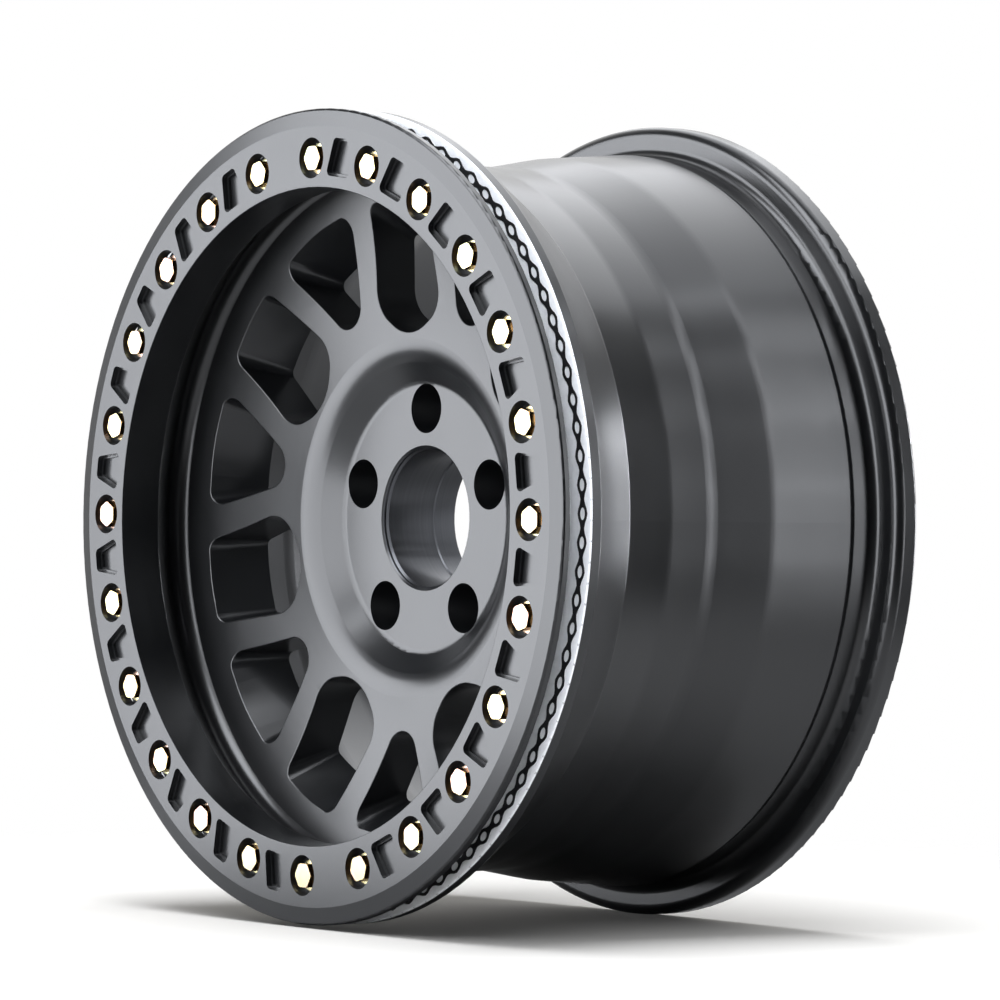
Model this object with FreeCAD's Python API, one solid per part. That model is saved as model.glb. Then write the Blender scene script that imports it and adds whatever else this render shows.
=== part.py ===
# A 17 inch beadlock wheel: one cast and machined wheel, a clamp ring, and the bolts and
# washers that hold the ring.
# The axle runs along Y. The hub pad is the plane y = 0, and the clamp ring looks towards minus Y.
import FreeCAD
import Part
import math
import os

# Hub: the pad that sits on the vehicle, its bore and its lug holes
PAD_R = 77.0
PAD_EDGE_R = 3.0
HUB_ROOT_R = 88.0
BORE_R = 39.05
BORE_LENGTH = 16.4
BORE_FRONT_R = 39.8
BORE_MOUTH_R = 41.0
BORE_MOUTH_DEPTH = 2.6
BORE_CHAMFER = 1.2
LUG_COUNT = 5
LUG_PCD = 127.0
LUG_WELL_R = 14.4
STUD_HOLE_R = 7.6
STUD_HOLE_LENGTH = 9.0
LUG_SEAT_HALF_ANGLE = 30.0
LUG_FACE_DEPTH = 52.5
DISH_FOOT_R = 78.0
DISH_FOOT_FILLET = 6.0
DISH_RIM_R = 96.5
DISH_RIM_FILLET = 24.0
DISH_DEPTH = 13.4

# Spoke disc: a concave face of one large arc, and a flatter back
FACE_CURVE_R = 280.0
FACE_CURVE_START_R = 105.0
FACE_EDGE_R = 207.5
FACE_EDGE_FILLET = 9.0
DISC_THICKNESS_HUB = 30.0
DISC_THICKNESS_RIM = 27.0
DISC_BACK_FILLET = 7.0

# Windows: broad round-ended ones and pointed ones, in turn
WINDOW_PAIRS = 7
WINDOW_RIM_GAP = 14.0
WINDOW_EDGE_ROUND = 0.8
WINDOW_OUTER_TAPER = 0.54
WINDOW_DRAFT = 0.10
WINDOW_OUTER_CORNER = 6.5
WINDOW_CROWN = 1.0
WINDOW_CROWN_R = 130.0
BROAD_HALF_OUTER = 24.3
BROAD_HALF_INNER = 30.3
BROAD_SHOULDER_R = 121.0
BROAD_TIP_R = 102.0
BROAD_SHOULDER_FILLET = 20.0
BROAD_TIP_FILLET = 30.0
POINTED_HALF_OUTER = 35.5
POINTED_TIP_R = 106.0
POINTED_TIP_FILLET = 13.5

# Clamp flange of the wheel, where the ring seats and the tyre bead is gripped
SEAT_DEPTH = 122.6
SEAT_OUTER_R = 214.0
LIP_EDGE_DEPTH = 111.0
CLAMP_FACE_DEPTH = 116.0
FLANGE_R = 232.4
FLANGE_THICKNESS = 7.0
FLANGE_EDGE_ROUND = 0.8

# Barrel: outer profile from the clamp flange to the inboard bead seat and flange
SHOULDER_R = 208.2
SHOULDER_DEPTH = 69.4
SHOULDER_FILLET = 3.0
WELL_R = 205.0
WELL_START_DEPTH = 38.0
WELL_END = -8.0
WELL_FILLET = 45.0
BARREL_REAR_R = 212.3
BARREL_REAR_Y = 32.0
BARREL_FILLET = 60.0
STEP_FILLET = 9.0
HUMP_R = 216.8
HUMP_Y = 84.6
HUMP_ROUND = 2.2
BEAD_GROOVE_R = 215.4
BEAD_GROOVE_Y = 88.0
BEAD_SEAT_R = 216.6
REAR_FLANGE_FACE_Y = 103.8
REAR_FLANGE_R = 234.4
REAR_FLANGE_ROUND = 6.0
REAR_EDGE_Y = 118.9
REAR_EDGE_ROUND = 2.0
REAR_LIP_WIDTH = 9.0
BARREL_WALL = 8.0

# Valve hole through the barrel wall, behind a spoke
VALVE_HOLE_R = 5.7
VALVE_HOLE_Y = -26.0
VALVE_ANGLE = -90.0

# Clamp ring
RING_OUTER_R = 232.6
RING_INNER_R = 187.6
RING_THICKNESS = 14.4
RING_RIM_THICKNESS = 4.8
RING_BEVEL_START_R = 222.5
RING_BEVEL_DROP = 1.9
RING_EDGE_ROUND = 0.5
RING_RIM_ROUND = 1.6
RING_HEEL_FILLET = 3.0

# Ring bolts, with hex heads sunk in counterbores
BOLT_COUNT = 24
BOLT_CIRCLE_R = 204.4
BOLT_R = 4.0
BOLT_LENGTH = 26.0
BOLT_HOLE_GAP = 0.5
THREAD_GAP = 0.05
THREAD_HOLE_SPARE = 2.0
HEAD_ACROSS_FLATS = 13.4
HEAD_HEIGHT = 5.3
HEAD_CORNER_CUT = 0.5
HEAD_SIDES = 6
HEAD_RECESS = 0.4
WASHER_R = 8.8
WASHER_THICKNESS = 1.6
WASHER_HOLE_GAP = 0.3
COUNTERBORE_R = 11.7

# Pockets in the ring face, one in each space between bolts except the two bare nameplate spaces
BARE_SPACES = (11, 23)
POCKET_OUTER_R = 216.2
POCKET_INNER_R = 194.2
POCKET_HALF_OUTER = 6.3
POCKET_HALF_INNER = 11.4
POCKET_CORNER = 3.2
POCKET_DEPTH = 5.0
POCKET_LEDGE_DEPTH = 3.4
POCKET_LEDGE_WIDTH = 1.5

ORIGIN = FreeCAD.Vector(0, 0, 0)
AXLE = FreeCAD.Vector(0, 1, 0)
FULL_TURN = 360.0
FACE_TOLERANCE = 0.05


def rounded_wire(corners, place):
    """A closed wire of straight runs with a tangent arc at each corner (a, b, radius)."""
    flat = [FreeCAD.Vector(a, b, 0) for a, b, radius in corners]
    count = len(corners)
    runs = []
    for i in range(count):
        corner = flat[i]
        before = (flat[i - 1] - corner).normalize()
        after = (flat[(i + 1) % count] - corner).normalize()
        radius = corners[i][2]
        if radius == 0:
            runs.append((corner, None, corner))
            continue
        half = before.getAngle(after) / 2
        reach = radius / math.tan(half)
        bisector = (before + after).normalize()
        middle = corner + bisector * (radius / math.sin(half) - radius)
        runs.append((corner + before * reach, middle, corner + after * reach))
    edges = []
    for i in range(count):
        start, middle, end = runs[i]
        if middle is not None:
            edges.append(Part.Arc(place(start), place(middle), place(end)).toShape())
        following = runs[(i + 1) % count][0]
        if end.distanceToPoint(following) > 1e-6:
            edges.append(Part.LineSegment(place(end), place(following)).toShape())
    return Part.Wire(edges)


def turned(corners):
    """A solid of revolution about the axle from corners (radius, y, fillet)."""
    wire = rounded_wire(corners, lambda p: FreeCAD.Vector(p.x, p.y, 0))
    return Part.Face(wire).revolve(ORIGIN, AXLE, FULL_TURN)


def around(shape, angle):
    """A copy turned about the axle, clockwise from the top as seen from the front."""
    copy = shape.copy()
    copy.rotate(ORIGIN, AXLE, angle)
    return copy


def rod(radius, start_y, end_y, offset=0.0):
    """A cylinder along the axle's direction, raised by offset above it."""
    base = FreeCAD.Vector(0, start_y, offset)
    return Part.makeCylinder(radius, end_y - start_y, base, AXLE)


def frustum(start_r, end_r, start_y, end_y, offset=0.0):
    """A cone along the axle's direction, raised by offset above it."""
    base = FreeCAD.Vector(0, start_y, offset)
    return Part.makeCone(start_r, end_r, end_y - start_y, base, AXLE)


# Heights along the axle that several pieces share
lug_face_y = -LUG_FACE_DEPTH
dish_rim_y = lug_face_y - DISH_DEPTH
seat_y = -SEAT_DEPTH
clamp_face_y = -CLAMP_FACE_DEPTH
ring_face_y = seat_y - RING_THICKNESS
bolt_spacing = FULL_TURN / BOLT_COUNT
bolt_top_y = ring_face_y + HEAD_RECESS
head_seat_y = bolt_top_y + HEAD_HEIGHT
counterbore_floor_y = head_seat_y + WASHER_THICKNESS
bolt_end_y = head_seat_y + BOLT_LENGTH

# Spoke face: the tangent at the outer end of the big arc sets the corner that the arc rounds
face_swing = math.asin((FACE_EDGE_R - FACE_CURVE_START_R) / FACE_CURVE_R)
face_corner_r = FACE_CURVE_START_R + FACE_CURVE_R * math.tan(face_swing / 2)
face_edge_y = dish_rim_y - (FACE_EDGE_R - face_corner_r) * math.tan(face_swing)


def face_y(radius):
    """Height of the concave spoke face at a radius."""
    run = max(radius - FACE_CURVE_START_R, 0)
    return dish_rim_y - (FACE_CURVE_R - math.sqrt(FACE_CURVE_R ** 2 - run ** 2))


well_inner_r = WELL_R - BARREL_WALL
window_outer_r = well_inner_r - WINDOW_RIM_GAP
disc_back_rim_y = face_y(window_outer_r) + DISC_THICKNESS_RIM
disc_back_hub_y = dish_rim_y + DISC_THICKNESS_HUB

# Wheel: one turned section, from the bore round the face, the outside, the rear lip and the inside
wheel = turned([
    (BORE_R, lug_face_y, 0),
    (DISH_FOOT_R, lug_face_y, DISH_FOOT_FILLET),
    (DISH_RIM_R, dish_rim_y, DISH_RIM_FILLET),
    (face_corner_r, dish_rim_y, FACE_CURVE_R),
    (FACE_EDGE_R, face_edge_y, FACE_EDGE_FILLET),
    (RING_INNER_R, -LIP_EDGE_DEPTH, FLANGE_EDGE_ROUND),
    (RING_INNER_R, seat_y, 0),
    (SEAT_OUTER_R, seat_y, 0),
    (SEAT_OUTER_R, clamp_face_y, 0),
    (FLANGE_R, clamp_face_y, FLANGE_EDGE_ROUND),
    (FLANGE_R, clamp_face_y + FLANGE_THICKNESS, FLANGE_EDGE_ROUND),
    (SHOULDER_R, -SHOULDER_DEPTH, SHOULDER_FILLET),
    (WELL_R, -WELL_START_DEPTH, WELL_FILLET),
    (WELL_R, WELL_END, WELL_FILLET),
    (BARREL_REAR_R, BARREL_REAR_Y, BARREL_FILLET),
    (HUMP_R, HUMP_Y, HUMP_ROUND),
    (BEAD_GROOVE_R, BEAD_GROOVE_Y, HUMP_ROUND),
    (BEAD_SEAT_R, REAR_FLANGE_FACE_Y, REAR_FLANGE_ROUND),
    (REAR_FLANGE_R, REAR_FLANGE_FACE_Y, REAR_FLANGE_ROUND),
    (REAR_FLANGE_R, REAR_EDGE_Y, REAR_EDGE_ROUND),
    (REAR_FLANGE_R - REAR_LIP_WIDTH, REAR_EDGE_Y, REAR_EDGE_ROUND),
    (HUMP_R - BARREL_WALL, HUMP_Y + BARREL_WALL, STEP_FILLET),
    (BARREL_REAR_R - BARREL_WALL, BARREL_REAR_Y, BARREL_FILLET),
    (well_inner_r, WELL_END, WELL_FILLET),
    (well_inner_r, disc_back_rim_y, DISC_BACK_FILLET),
    (HUB_ROOT_R, disc_back_hub_y, DISC_BACK_FILLET),
    (PAD_R, 0, PAD_EDGE_R),
    (BORE_R, 0, 0),
])


def window(front_corners, rear_corners, front_y, rear_y):
    """A tapering cutter between two outlines across the axle."""
    sections = []
    for corners, y in ((front_corners, front_y), (rear_corners, rear_y)):
        sections.append(rounded_wire(corners, lambda p, y=y: FreeCAD.Vector(p.x, y, p.y)))
    return Part.makeLoft(sections, True, True)


def broad_outline(y):
    """Broad window at a height: straight sides and a round end towards the hub."""
    inset = (y - dish_rim_y) * WINDOW_DRAFT
    outer = window_outer_r - (y - face_y(window_outer_r)) * WINDOW_OUTER_TAPER
    side = math.sqrt(outer ** 2 - BROAD_HALF_OUTER ** 2)
    return [
        (-BROAD_HALF_OUTER + inset, side, WINDOW_OUTER_CORNER - inset),
        (0, outer + WINDOW_CROWN, WINDOW_CROWN_R),
        (BROAD_HALF_OUTER - inset, side, WINDOW_OUTER_CORNER - inset),
        (BROAD_HALF_INNER - inset, BROAD_SHOULDER_R + inset, BROAD_SHOULDER_FILLET - inset),
        (0, BROAD_TIP_R + inset, BROAD_TIP_FILLET - inset),
        (-BROAD_HALF_INNER + inset, BROAD_SHOULDER_R + inset, BROAD_SHOULDER_FILLET - inset),
    ]


def pointed_outline(y):
    """Pointed window at a height: wide at the rim and narrowing to a round tip."""
    inset = (y - dish_rim_y) * WINDOW_DRAFT
    outer = window_outer_r - (y - face_y(window_outer_r)) * WINDOW_OUTER_TAPER
    half = POINTED_HALF_OUTER * (outer - POINTED_TIP_R) / (window_outer_r - POINTED_TIP_R) - inset
    side = math.sqrt(outer ** 2 - half ** 2)
    return [
        (-half, side, WINDOW_OUTER_CORNER - inset),
        (0, outer + WINDOW_CROWN, WINDOW_CROWN_R),
        (half, side, WINDOW_OUTER_CORNER - inset),
        (0, POINTED_TIP_R + inset, POINTED_TIP_FILLET - inset),
    ]


# The windows go right through the disc, so their cutters start before its face and end behind its back
cut_front_y = face_edge_y
cut_rear_y = disc_back_hub_y + DISC_BACK_FILLET
broad = window(broad_outline(cut_front_y), broad_outline(cut_rear_y), cut_front_y, cut_rear_y)
pointed = window(pointed_outline(cut_front_y), pointed_outline(cut_rear_y), cut_front_y, cut_rear_y)
pair_angle = FULL_TURN / WINDOW_PAIRS
window_cuts = []
for i in range(WINDOW_PAIRS):
    window_cuts.append(around(broad, i * pair_angle))
    window_cuts.append(around(pointed, (i + 0.5) * pair_angle))
wheel = wheel.cut(window_cuts)

# The windows' front edges are rounded over
front_edges = []
for edge in wheel.Edges:
    middle = edge.valueAt((edge.FirstParameter + edge.LastParameter) / 2)
    middle_r = math.hypot(middle.x, middle.z)
    on_face = abs(middle.y - face_y(middle_r)) < FACE_TOLERANCE
    in_windows = DISH_RIM_R < middle_r < well_inner_r
    if on_face and in_windows and len(wheel.ancestorsOfType(edge, Part.Face)) == 2:
        front_edges.append(edge)
wheel = wheel.makeFillet(WINDOW_EDGE_ROUND, front_edges)

# Hub bore: a chamfered mouth, a wider front stretch and a chamfered end at the pad
mouth_end_y = lug_face_y + BORE_MOUTH_DEPTH
front_end_y = -BORE_LENGTH
bore_cuts = [
    frustum(BORE_MOUTH_R + BORE_CHAMFER, BORE_MOUTH_R, lug_face_y, lug_face_y + BORE_CHAMFER),
    rod(BORE_MOUTH_R, lug_face_y, mouth_end_y),
    frustum(BORE_MOUTH_R, BORE_FRONT_R, mouth_end_y, mouth_end_y + BORE_CHAMFER),
    rod(BORE_FRONT_R, mouth_end_y, front_end_y),
    frustum(BORE_FRONT_R, BORE_R, front_end_y, front_end_y + BORE_FRONT_R - BORE_R),
    frustum(BORE_R, BORE_R + BORE_CHAMFER, -BORE_CHAMFER, 0),
]
wheel = wheel.cut(bore_cuts)

# Lug holes: a wide well, a conical seat for the nut and a hole for the stud
seat_length = (LUG_WELL_R - STUD_HOLE_R) / math.tan(math.radians(LUG_SEAT_HALF_ANGLE))
lug_radius = LUG_PCD / 2
seat_start_y = -STUD_HOLE_LENGTH - seat_length
lug_well = rod(LUG_WELL_R, lug_face_y - DISH_DEPTH, seat_start_y, lug_radius)
lug_seat = frustum(LUG_WELL_R, STUD_HOLE_R, seat_start_y, -STUD_HOLE_LENGTH, lug_radius)
lug_hole = rod(STUD_HOLE_R, -STUD_HOLE_LENGTH, 0, lug_radius)
lug_cut = lug_well.fuse([lug_seat, lug_hole])
wheel = wheel.cut([around(lug_cut, i * FULL_TURN / LUG_COUNT) for i in range(LUG_COUNT)])

# Tapped holes for the ring bolts, and the valve hole
thread_hole = rod(BOLT_R + THREAD_GAP, seat_y, bolt_end_y + THREAD_HOLE_SPARE, BOLT_CIRCLE_R)
wheel = wheel.cut([around(thread_hole, i * bolt_spacing) for i in range(BOLT_COUNT)])
valve_base = FreeCAD.Vector(0, VALVE_HOLE_Y, well_inner_r - BARREL_WALL)
valve_reach = WELL_R + BARREL_WALL - valve_base.z
valve_hole = Part.makeCylinder(VALVE_HOLE_R, valve_reach, valve_base, FreeCAD.Vector(0, 0, 1))
wheel = wheel.cut(around(valve_hole, VALVE_ANGLE))

# Clamp ring: a flat face, a shallow bevel to a thin outer lip, and a thick heel that seats on the wheel
ring = turned([
    (RING_INNER_R, ring_face_y, RING_EDGE_ROUND),
    (RING_BEVEL_START_R, ring_face_y, 0),
    (RING_OUTER_R, ring_face_y + RING_BEVEL_DROP, RING_RIM_ROUND),
    (RING_OUTER_R, ring_face_y + RING_BEVEL_DROP + RING_RIM_THICKNESS, RING_EDGE_ROUND),
    (SEAT_OUTER_R, ring_face_y + RING_BEVEL_DROP + RING_RIM_THICKNESS, RING_HEEL_FILLET),
    (SEAT_OUTER_R, seat_y, 0),
    (RING_INNER_R, seat_y, 0),
])
bolt_cut = rod(COUNTERBORE_R, ring_face_y - HEAD_HEIGHT, counterbore_floor_y, BOLT_CIRCLE_R)
bolt_cut = bolt_cut.fuse(rod(BOLT_R + BOLT_HOLE_GAP, ring_face_y, seat_y, BOLT_CIRCLE_R))
ring = ring.cut([around(bolt_cut, i * bolt_spacing) for i in range(BOLT_COUNT)])


def pocket_section(shrink, floor_depth):
    """Part of a ring pocket: a trapezoid, narrower outwards, cut from the face to a depth."""
    corner = POCKET_CORNER - shrink
    corners = [
        (-POCKET_HALF_OUTER + shrink, POCKET_OUTER_R - shrink, corner),
        (POCKET_HALF_OUTER - shrink, POCKET_OUTER_R - shrink, corner),
        (POCKET_HALF_INNER - shrink, POCKET_INNER_R + shrink, corner),
        (-POCKET_HALF_INNER + shrink, POCKET_INNER_R + shrink, corner),
    ]
    top_y = ring_face_y - POCKET_DEPTH
    outline = rounded_wire(corners, lambda p: FreeCAD.Vector(p.x, top_y, p.y))
    return Part.Face(outline).extrude(AXLE * (floor_depth + POCKET_DEPTH))


pocket = pocket_section(0, POCKET_LEDGE_DEPTH).fuse(pocket_section(POCKET_LEDGE_WIDTH, POCKET_DEPTH))
pocket_spaces = [i for i in range(BOLT_COUNT) if i not in BARE_SPACES]
ring = ring.cut([around(pocket, (i + 0.5) * bolt_spacing) for i in pocket_spaces])

# One bolt: a hex head with cut corners on a plain shank, a flat of the head facing outwards
head_corner_r = HEAD_ACROSS_FLATS / math.sqrt(3)
hex_corners = []
for i in range(HEAD_SIDES):
    turn = math.tau * (i + 0.5) / HEAD_SIDES
    hex_corners.append((head_corner_r * math.sin(turn), BOLT_CIRCLE_R + head_corner_r * math.cos(turn), 0))
hex_wire = rounded_wire(hex_corners, lambda p: FreeCAD.Vector(p.x, bolt_top_y, p.y))
head = Part.Face(hex_wire).extrude(AXLE * HEAD_HEIGHT)
crown_r = head_corner_r - HEAD_CORNER_CUT
crown = frustum(crown_r, crown_r + HEAD_HEIGHT, bolt_top_y, head_seat_y, BOLT_CIRCLE_R)
head = head.common(crown)
bolt = head.fuse(rod(BOLT_R, head_seat_y, bolt_end_y, BOLT_CIRCLE_R))

# One washer under each head
washer = rod(WASHER_R, head_seat_y, counterbore_floor_y, BOLT_CIRCLE_R)
washer = washer.cut(rod(BOLT_R + WASHER_HOLE_GAP, head_seat_y, counterbore_floor_y, BOLT_CIRCLE_R))

bolts = Part.makeCompound([around(bolt, i * bolt_spacing) for i in range(BOLT_COUNT)])
washers = Part.makeCompound([around(washer, i * bolt_spacing) for i in range(BOLT_COUNT)])

os.makedirs("parts", exist_ok=True)
pieces = {"wheel": wheel, "beadlock_ring": ring, "ring_bolts": bolts, "ring_washers": washers}
for name, shape in pieces.items():
    shape.exportStep("parts/" + name + ".step")
    print(name, len(shape.Solids), shape.isValid(), round(shape.Volume), shape.BoundBox)
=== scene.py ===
import math

import bmesh
import bpy
from mathutils import Matrix, Vector


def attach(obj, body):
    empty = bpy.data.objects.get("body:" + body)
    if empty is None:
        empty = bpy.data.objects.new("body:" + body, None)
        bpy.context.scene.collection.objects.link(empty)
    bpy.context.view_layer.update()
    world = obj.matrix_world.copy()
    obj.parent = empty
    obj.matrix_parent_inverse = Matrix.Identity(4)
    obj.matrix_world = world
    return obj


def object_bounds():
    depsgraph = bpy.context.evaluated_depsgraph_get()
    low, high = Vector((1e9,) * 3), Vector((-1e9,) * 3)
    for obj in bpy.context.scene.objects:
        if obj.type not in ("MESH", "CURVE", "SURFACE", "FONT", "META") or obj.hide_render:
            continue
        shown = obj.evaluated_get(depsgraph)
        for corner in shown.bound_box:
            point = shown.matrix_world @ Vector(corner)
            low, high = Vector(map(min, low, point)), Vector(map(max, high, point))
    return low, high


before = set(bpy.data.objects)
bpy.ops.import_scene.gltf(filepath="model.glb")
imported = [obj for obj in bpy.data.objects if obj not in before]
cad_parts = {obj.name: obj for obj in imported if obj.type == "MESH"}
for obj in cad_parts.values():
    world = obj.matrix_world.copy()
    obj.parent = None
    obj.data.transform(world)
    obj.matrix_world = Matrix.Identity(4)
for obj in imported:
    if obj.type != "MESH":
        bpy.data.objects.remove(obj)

cad_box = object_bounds()

# Wheel: one cast aluminium wheel, turned on a lathe, then powder coated satin black all over.
# The hub bore is cut after the coating, so it shows bare metal with turning lines.


def linear(colour):
    """An sRGB hex colour as linear RGBA."""
    channels = [int(colour[i:i + 2], 16) / 255 for i in (1, 3, 5)]
    return [c / 12.92 if c <= 0.04045 else ((c + 0.055) / 1.055) ** 2.4 for c in channels] + [1.0]


def add(tree, kind, values={}, links={}, **settings):
    """A node with its settings, its socket values and its links."""
    node = tree.nodes.new(kind)
    for name, value in settings.items():
        setattr(node, name, value)
    for socket, value in values.items():
        node.inputs[socket].default_value = value
    for socket, output in links.items():
        tree.links.new(output, node.inputs[socket])
    return node


def new_finish(name):
    """An empty node material, and its node tree."""
    finish = bpy.data.materials.new(name)
    finish.use_nodes = True
    finish.node_tree.nodes.clear()
    return finish, finish.node_tree


def wear(node_name, finish):
    """Gives a CAD node its finish."""
    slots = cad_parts[node_name].data.materials
    slots.clear()
    slots.append(finish)


COAT_BLACK = linear("#0b0c0d")
COAT_BLACK_WORN = linear("#111214")
BARE_BORE = linear("#56575a")
BORE_MOUTH_R = 0.0414

# Satin powder coat: a cured film with a fine orange peel, which gives wide soft highlights
satin_coat, tree = new_finish("satin_black_powder_coat")
place = add(tree, "ShaderNodeTexCoord")
axes = add(tree, "ShaderNodeSeparateXYZ", links={"Vector": place.outputs["Object"]})
flat = add(tree, "ShaderNodeCombineXYZ", links={"X": axes.outputs["X"], "Y": axes.outputs["Z"]})
radius = add(tree, "ShaderNodeVectorMath", links={0: flat.outputs["Vector"]}, operation="LENGTH")
bare = add(tree, "ShaderNodeMath", {1: BORE_MOUTH_R}, {0: radius.outputs["Value"]}, operation="LESS_THAN")
mottle = add(tree, "ShaderNodeTexNoise", {"Scale": 35.0, "Detail": 3.0}, {"Vector": place.outputs["Object"]})
coat_colour = add(tree, "ShaderNodeMix", {6: COAT_BLACK, 7: COAT_BLACK_WORN}, {0: mottle.outputs["Fac"]},
                  data_type="RGBA")
turned = add(tree, "ShaderNodeCombineXYZ", links={"X": radius.outputs["Value"], "Y": axes.outputs["Y"]})
lines = add(tree, "ShaderNodeTexNoise", {"Scale": 900.0, "Detail": 2.0},
            {"Vector": turned.outputs["Vector"]})
line_shade = add(tree, "ShaderNodeMapRange", {"To Min": 0.72, "To Max": 1.1},
                 {"Value": lines.outputs["Fac"]})
metal_lined = add(tree, "ShaderNodeMix", {0: 1.0, 6: BARE_BORE}, {7: line_shade.outputs[0]},
                  data_type="RGBA", blend_type="MULTIPLY")
colour = add(tree, "ShaderNodeMix", data_type="RGBA",
             links={0: bare.outputs[0], 6: coat_colour.outputs[2], 7: metal_lined.outputs[2]})
coat_rough = add(tree, "ShaderNodeMapRange", {"To Min": 0.26, "To Max": 0.32},
                 {"Value": mottle.outputs["Fac"]})
rough = add(tree, "ShaderNodeMix", {3: 0.34}, {0: bare.outputs[0], 2: coat_rough.outputs[0]})
peel = add(tree, "ShaderNodeTexNoise", {"Scale": 700.0, "Detail": 2.0}, {"Vector": place.outputs["Object"]})
relief = add(tree, "ShaderNodeMix",
             links={0: bare.outputs[0], 2: peel.outputs["Fac"], 3: lines.outputs["Fac"]})
bump = add(tree, "ShaderNodeBump", {"Strength": 0.12, "Distance": 0.0002}, {"Height": relief.outputs[0]})
surface = add(tree, "ShaderNodeBsdfPrincipled",
              {"Specular IOR Level": 0.7, "Coat Weight": 0.35, "Coat Roughness": 0.2},
              {"Base Color": colour.outputs[2], "Metallic": bare.outputs[0], "Roughness": rough.outputs[0],
               "Normal": bump.outputs["Normal"]})
add(tree, "ShaderNodeOutputMaterial", links={"Surface": surface.outputs["BSDF"]})
wear("wheel", satin_coat)

# Clamp face: the land behind the ring is machined bare and matt, from the ring's seat out over the
# flange's edge. It is a thin skin let into the flange; light reaches it only through the open bead gap.
LAND_PROFILE = ((0.21405, -0.11605), (0.2316, -0.11605), (0.2322, -0.11582), (0.23245, -0.1152),
                (0.2320, -0.1152), (0.2314, -0.1158), (0.21405, -0.1158))
LAND_STEPS = 360
BARE_LAND = linear("#dfe1e3")
BARE_LAND_WORN = linear("#c2c4c7")
land_shape = bmesh.new()
corners = [land_shape.verts.new((reach, along, 0)) for reach, along in LAND_PROFILE]
edges = [land_shape.edges.new(pair) for pair in zip(corners, corners[1:] + corners[:1])]
bmesh.ops.spin(land_shape, geom=corners + edges, cent=(0, 0, 0), axis=(0, 1, 0), angle=math.tau,
               steps=LAND_STEPS, use_merge=True)
bmesh.ops.recalc_face_normals(land_shape, faces=land_shape.faces)
land_mesh = bpy.data.meshes.new("clamp_land")
land_shape.to_mesh(land_mesh)
land_shape.free()
clamp_land = bpy.data.objects.new("clamp_land", land_mesh)
bpy.context.scene.collection.objects.link(clamp_land)
bare_land, tree = new_finish("bare_machined_land")
place = add(tree, "ShaderNodeTexCoord")
grain = add(tree, "ShaderNodeTexNoise", {"Scale": 260.0, "Detail": 3.0}, {"Vector": place.outputs["Object"]})
colour = add(tree, "ShaderNodeMix", {6: BARE_LAND_WORN, 7: BARE_LAND}, {0: grain.outputs["Fac"]},
             data_type="RGBA")
bump = add(tree, "ShaderNodeBump", {"Strength": 0.1, "Distance": 0.0002}, {"Height": grain.outputs["Fac"]})
surface = add(tree, "ShaderNodeBsdfPrincipled", {"Metallic": 0.15, "Roughness": 0.55},
              {"Base Color": colour.outputs[2], "Normal": bump.outputs["Normal"]})
add(tree, "ShaderNodeOutputMaterial", links={"Surface": surface.outputs["BSDF"]})
land_mesh.materials.append(bare_land)
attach(clamp_land, "root")

# Grip chain: a row of black links left standing on the bare clamp face, all round the wheel.
# They bite into the tyre bead, so that it cannot turn in the clamp.
LINK_COUNT = 90
CHAIN_R = 0.2251
CHAIN_PHASE = math.radians(1.1)
LINK_HALF_EYE = 0.0041
LINK_HALF_NECK = 0.0014
EYE_HALF_LENGTH = 0.0034
EYE_HALF_WIDTH = 0.0021
CHAIN_RISE = 0.0004
CLAMP_FACE_Y = -0.116
SPLINE_PULL = 3.0
HOLE_POINTS = 8
HOLE_PULL = 1.13
chain_curve = bpy.data.curves.new("grip_chain", "CURVE")
chain_curve.dimensions = "2D"
chain_curve.fill_mode = "BOTH"
chain_curve.extrude = CHAIN_RISE
chain_curve.resolution_u = 3


def closed_spline(points):
    """A closed smooth outline through the pull of its points, added to the chain's curve."""
    spline = chain_curve.splines.new("NURBS")
    spline.points.add(len(points) - 1)
    for point, (across, along) in zip(spline.points, points):
        point.co = (across, along, 0, 1)
    spline.use_cyclic_u = True
    spline.order_u = 4


half_mean = (LINK_HALF_EYE + LINK_HALF_NECK) / 2
half_swing = (LINK_HALF_EYE - LINK_HALF_NECK) / 2 * SPLINE_PULL
for side in (1, -1):
    outline = []
    for i in range(2 * LINK_COUNT):
        angle = CHAIN_PHASE + math.pi * i / LINK_COUNT
        reach = CHAIN_R + side * (half_mean + (-1) ** i * half_swing)
        outline.append((reach * math.sin(angle), reach * math.cos(angle)))
    closed_spline(outline)
for i in range(LINK_COUNT):
    angle = CHAIN_PHASE + math.tau * i / LINK_COUNT
    hole = []
    for j in range(HOLE_POINTS):
        turn = math.tau * j / HOLE_POINTS
        reach = CHAIN_R + EYE_HALF_WIDTH * HOLE_PULL * math.cos(turn)
        shift = EYE_HALF_LENGTH * HOLE_PULL * math.sin(turn)
        hole.append((reach * math.sin(angle) + shift * math.cos(angle),
                     reach * math.cos(angle) - shift * math.sin(angle)))
    closed_spline(hole)
flat_chain = bpy.data.objects.new("flat_chain", chain_curve)
bpy.context.scene.collection.objects.link(flat_chain)
bpy.context.view_layer.update()
chain_mesh = bpy.data.meshes.new_from_object(flat_chain.evaluated_get(bpy.context.evaluated_depsgraph_get()))
bpy.data.objects.remove(flat_chain)
chain_mesh.transform(Matrix.Translation((0, CLAMP_FACE_Y, 0)) @ Matrix.Rotation(math.pi / 2, 4, "X"))
grip_chain = bpy.data.objects.new("grip_chain", chain_mesh)
bpy.context.scene.collection.objects.link(grip_chain)
link_coat, tree = new_finish("black_link_coat")
place = add(tree, "ShaderNodeTexCoord")
mottle = add(tree, "ShaderNodeTexNoise", {"Scale": 60.0, "Detail": 2.0}, {"Vector": place.outputs["Object"]})
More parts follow.
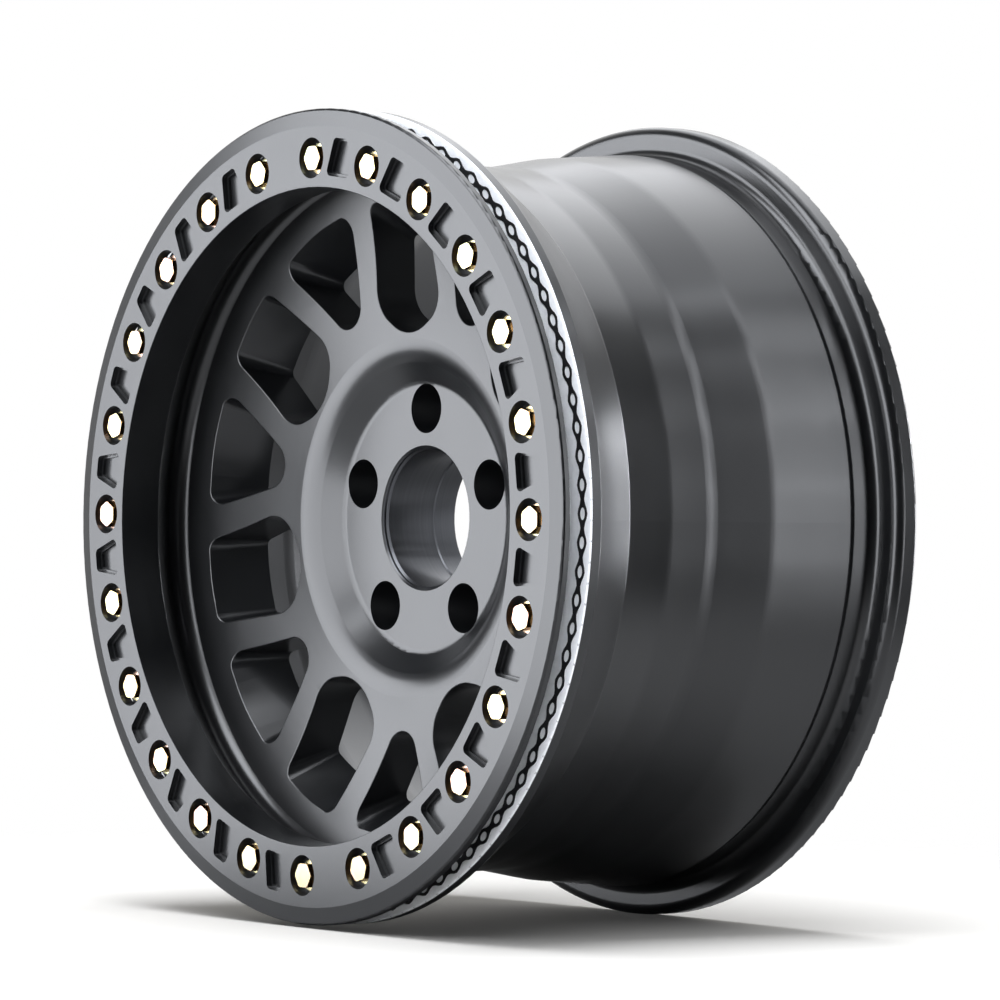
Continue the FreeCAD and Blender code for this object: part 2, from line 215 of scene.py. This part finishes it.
colour = add(tree, "ShaderNodeMix", {6: linear("#08080a"), 7: linear("#121214")}, {0: mottle.outputs["Fac"]},
             data_type="RGBA")
surface = add(tree, "ShaderNodeBsdfPrincipled", {"Roughness": 0.5}, {"Base Color": colour.outputs[2]})
add(tree, "ShaderNodeOutputMaterial", links={"Surface": surface.outputs["BSDF"]})
chain_mesh.materials.clear()
chain_mesh.materials.append(link_coat)
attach(grip_chain, "root")

# Clamp ring: turned and milled from aluminium plate, then powder coated satin black.
# It is bolted to the wheel and grips the tyre bead against the clamp face.
RING_BLACK = linear("#0c0d0e")
RING_BLACK_WORN = linear("#121315")
ring_coat, tree = new_finish("satin_black_machined_plate")
place = add(tree, "ShaderNodeTexCoord")
mottle = add(tree, "ShaderNodeTexNoise", {"Scale": 30.0, "Detail": 3.0}, {"Vector": place.outputs["Object"]})
colour = add(tree, "ShaderNodeMix", {6: RING_BLACK, 7: RING_BLACK_WORN}, {0: mottle.outputs["Fac"]},
             data_type="RGBA")
rough = add(tree, "ShaderNodeMapRange", {"To Min": 0.26, "To Max": 0.32}, {"Value": mottle.outputs["Fac"]})
peel = add(tree, "ShaderNodeTexNoise", {"Scale": 700.0, "Detail": 2.0}, {"Vector": place.outputs["Object"]})
bump = add(tree, "ShaderNodeBump", {"Strength": 0.12, "Distance": 0.0002}, {"Height": peel.outputs["Fac"]})
surface = add(tree, "ShaderNodeBsdfPrincipled",
              {"Specular IOR Level": 0.7, "Coat Weight": 0.35, "Coat Roughness": 0.2},
              {"Base Color": colour.outputs[2], "Roughness": rough.outputs[0],
               "Normal": bump.outputs["Normal"]})
add(tree, "ShaderNodeOutputMaterial", links={"Surface": surface.outputs["BSDF"]})
wear("beadlock_ring", ring_coat)

# Ring bolts and washers: steel, yellow zinc plated, so they shine pale gold with patches of pink and green.
# Surfaces that do not face straight out of the wheel's front are painted a darker brown than the
# front-facing tops: painted shade on the flanks.
ZINC_GOLD = linear("#ecd8a2")
ZINC_PINK = linear("#e8c2ae")
ZINC_GREEN = linear("#dcdeb2")
ZINC_FLANK_PAINTED_SHADE = linear("#a9814e")
PAINTED_SHADE_SPLIT = 0.8
zinc_plate_with_painted_shade, tree = new_finish("yellow_zinc_plate")
place = add(tree, "ShaderNodeTexCoord")
bloom = add(tree, "ShaderNodeTexNoise", {"Scale": 45.0, "Detail": 2.0}, {"Vector": place.outputs["Object"]})
tint = add(tree, "ShaderNodeValToRGB", links={"Fac": bloom.outputs["Fac"]})
tint.color_ramp.elements[0].position = 0.38
tint.color_ramp.elements[0].color = ZINC_PINK
tint.color_ramp.elements[1].position = 0.66
tint.color_ramp.elements[1].color = ZINC_GREEN
tint.color_ramp.elements.new(0.5).color = ZINC_GOLD
# Front-facing surfaces take the zinc tints and all others take the darker brown: painted shade on the
# flanks, chosen by facing.
facing = add(tree, "ShaderNodeVectorMath", {1: (0, -1, 0)}, {0: place.outputs["Normal"]},
             operation="DOT_PRODUCT")
top_vs_painted_flank_shade = add(tree, "ShaderNodeMath", {1: PAINTED_SHADE_SPLIT}, {0: facing.outputs["Value"]}, operation="GREATER_THAN")
colour = add(tree, "ShaderNodeMix", {6: ZINC_FLANK_PAINTED_SHADE}, {0: top_vs_painted_flank_shade.outputs[0], 7: tint.outputs["Color"]},
             data_type="RGBA")
rough = add(tree, "ShaderNodeMapRange", {"To Min": 0.16, "To Max": 0.26}, {"Value": bloom.outputs["Fac"]})
surface = add(tree, "ShaderNodeBsdfPrincipled", {"Metallic": 1.0},
              {"Base Color": colour.outputs[2], "Roughness": rough.outputs[0]})
add(tree, "ShaderNodeOutputMaterial", links={"Surface": surface.outputs["BSDF"]})
wear("ring_bolts", zinc_plate_with_painted_shade)
wear("ring_washers", zinc_plate_with_painted_shade)

# Studio: a white floor that fades into a white backdrop behind the wheel. A wide soft box in front lights
# the ring and the hub. One above and an arc of panels at the right rear light the barrel.
FLOOR_HALF = 3.0
FLOOR_FADE_START = 0.5
FLOOR_FADE_END = 0.95
FLOOR_LIFT = 0.03
floor_z = cad_box[0][2]
floor_shape = bmesh.new()
bmesh.ops.create_grid(floor_shape, x_segments=1, y_segments=1, size=FLOOR_HALF,
                      matrix=Matrix.Translation((0, 0, floor_z)))
floor_mesh = bpy.data.meshes.new("studio_floor")
floor_shape.to_mesh(floor_mesh)
floor_shape.free()
floor = bpy.data.objects.new("studio_floor", floor_mesh)
bpy.context.scene.collection.objects.link(floor)
floor_paint, tree = new_finish("white_floor_paint")
place = add(tree, "ShaderNodeTexCoord")
reach = add(tree, "ShaderNodeVectorMath", links={0: place.outputs["Object"]}, operation="LENGTH")
fade = add(tree, "ShaderNodeMapRange", {"From Min": FLOOR_FADE_START, "From Max": FLOOR_FADE_END},
           {"Value": reach.outputs["Value"]}, interpolation_type="SMOOTHSTEP")
ray = add(tree, "ShaderNodeLightPath")
# Glossy rays see the floor a darker grey than camera rays do: painted shade in the floor's reflection on the
# wheel's lower barrel.
paint_with_painted_reflection_shade = add(tree, "ShaderNodeMix", {6: linear("#f5f2ec"), 7: linear("#b8b8b8")},
                   {0: ray.outputs["Is Glossy Ray"]}, data_type="RGBA")
paint = add(tree, "ShaderNodeBsdfDiffuse", links={"Color": paint_with_painted_reflection_shade.outputs[2]})
lift = add(tree, "ShaderNodeMath", {1: FLOOR_LIFT}, {0: ray.outputs["Is Camera Ray"]}, operation="MULTIPLY")
glow = add(tree, "ShaderNodeEmission", {"Color": linear("#ffffff")}, {"Strength": lift.outputs[0]})
lit = add(tree, "ShaderNodeAddShader", links={0: paint.outputs[0], 1: glow.outputs[0]})
clear = add(tree, "ShaderNodeBsdfTransparent")
blend = add(tree, "ShaderNodeMixShader", links={0: fade.outputs[0], 1: lit.outputs[0], 2: clear.outputs[0]})
add(tree, "ShaderNodeOutputMaterial", links={"Surface": blend.outputs[0]})
floor_mesh.materials.append(floor_paint)

BACKDROP_TOWARDS = (-0.72, 0.68, 0.12)
world = bpy.data.worlds.new("studio_surround")
bpy.context.scene.world = world
world.use_nodes = True
tree = world.node_tree
tree.nodes.clear()
ray = add(tree, "ShaderNodeLightPath")
heading = add(tree, "ShaderNodeTexCoord")
facing = add(tree, "ShaderNodeVectorMath", {1: BACKDROP_TOWARDS}, {0: heading.outputs["Generated"]},
             operation="DOT_PRODUCT")
backdrop = add(tree, "ShaderNodeMapRange",
               {"From Min": 0.35, "From Max": 0.85, "To Min": 0.015, "To Max": 1.0},
               {"Value": facing.outputs["Value"]}, interpolation_type="SMOOTHSTEP")
level = add(tree, "ShaderNodeMath", links={0: backdrop.outputs[0], 1: ray.outputs["Is Camera Ray"]},
            operation="MAXIMUM")
shown = add(tree, "ShaderNodeBackground", {"Color": linear("#ffffff")}, {"Strength": level.outputs[0]})
add(tree, "ShaderNodeOutputWorld", links={"Surface": shown.outputs[0]})

COOL_LIGHT = linear("#f6f9ff")


def soft_box(name, towards, distance, width, height, radiance, only=()):
    """A lamp panel facing the wheel from a direction, for the named pieces only or for all but the floor."""
    lamp = bpy.data.lights.new(name, "AREA")
    lamp.shape = "RECTANGLE"
    lamp.color = COOL_LIGHT[:3]
    lamp.size = width
    lamp.size_y = height
    lamp.energy = radiance * math.pi * width * height
    panel = bpy.data.objects.new(name, lamp)
    heading = Vector(towards).normalized()
    turn = heading.to_track_quat("Z", "Y").to_matrix().to_4x4()
    panel.matrix_world = Matrix.Translation(heading * distance) @ turn
    panel.visible_camera = False
    bpy.context.scene.collection.objects.link(panel)
    reached = bpy.data.collections.new(name + "_reach")
    for i, piece in enumerate(only or (floor,)):
        reached.objects.link(piece)
        reached.collection_objects[i].light_linking.link_state = "INCLUDE" if only else "EXCLUDE"
    panel.light_linking.receiver_collection = reached


# Each panel's name, direction, distance, width, height and radiance
soft_box("key_box", (-0.27, -0.95, 0.10), 2.4, 4.6, 2.5, 4.9)
soft_box("top_box", (-0.25, 0.45, 0.86), 2.3, 2.8, 2.4, 1.5)
# The arc's panels, by degrees of rise and radiance; it lies on a circle round the axle, behind the wheel
SIDE_ARC = ((-20, 3.2), (0, 5.8), (20, 5.8), (40, 5.4), (60, 4.2))
SIDE_ARC_OUT = 0.87
SIDE_ARC_BACK = 0.46
for rise, radiance in SIDE_ARC:
    lean = math.radians(rise)
    towards = (SIDE_ARC_OUT * math.cos(lean), SIDE_ARC_BACK, SIDE_ARC_OUT * math.sin(lean))
    soft_box("side_arc_%d" % rise, towards, 2.55, 0.3, 0.9, radiance)
soft_box("brow_box", (0.05, -0.56, 0.83), 2.4, 1.5, 1.5, 6.0)
soft_box("rear_strip", (0.25, 0.965, 0.095), 2.65, 0.4, 1.2, 24.0)
soft_box("gap_box", (0.70, -0.45, 0.55), 2.4, 1.6, 1.6, 13.0, (clamp_land, grip_chain))
soft_box("floor_top_box", (0.0, -0.06, 1.0), 2.3, 1.6, 1.6, 9.0, (floor,))
soft_box("floor_front_box", (0.42, -0.50, 0.76), 2.3, 2.0, 2.0, 2.2, (floor,))
bpy.context.scene.view_settings.view_transform = "Standard"

# Camera: a long lens a little to the right of the ring, level with the axle.
LENS_MM = 201.756
SENSOR_MM = 36.0
AZIMUTH = math.radians(52.091)
ELEVATION = math.radians(-0.155)
ROLL = math.radians(0.723)
DISTANCE = 3.19393
AIM = Vector((0, -0.134844, 0))
SHIFT_RIGHT = 0.108300
SHIFT_UP = 0.010863
ahead = Vector((-math.sin(AZIMUTH) * math.cos(ELEVATION), math.cos(AZIMUTH) * math.cos(ELEVATION),
                -math.sin(ELEVATION)))
right = Vector((math.cos(AZIMUTH), math.sin(AZIMUTH), 0))
up = right.cross(ahead)
stand = AIM - ahead * DISTANCE + right * SHIFT_RIGHT + up * SHIFT_UP
tilted_right = right * math.cos(ROLL) + up * math.sin(ROLL)
tilted_up = up * math.cos(ROLL) - right * math.sin(ROLL)
camera_data = bpy.data.cameras.new("photo_camera")
camera_data.lens = LENS_MM
camera_data.sensor_width = SENSOR_MM
camera = bpy.data.objects.new("photo_camera", camera_data)
turn = Matrix((tilted_right, tilted_up, -ahead)).transposed().to_4x4()
camera.matrix_world = Matrix.Translation(stand) @ turn
bpy.context.scene.collection.objects.link(camera)
bpy.context.scene.camera = camera
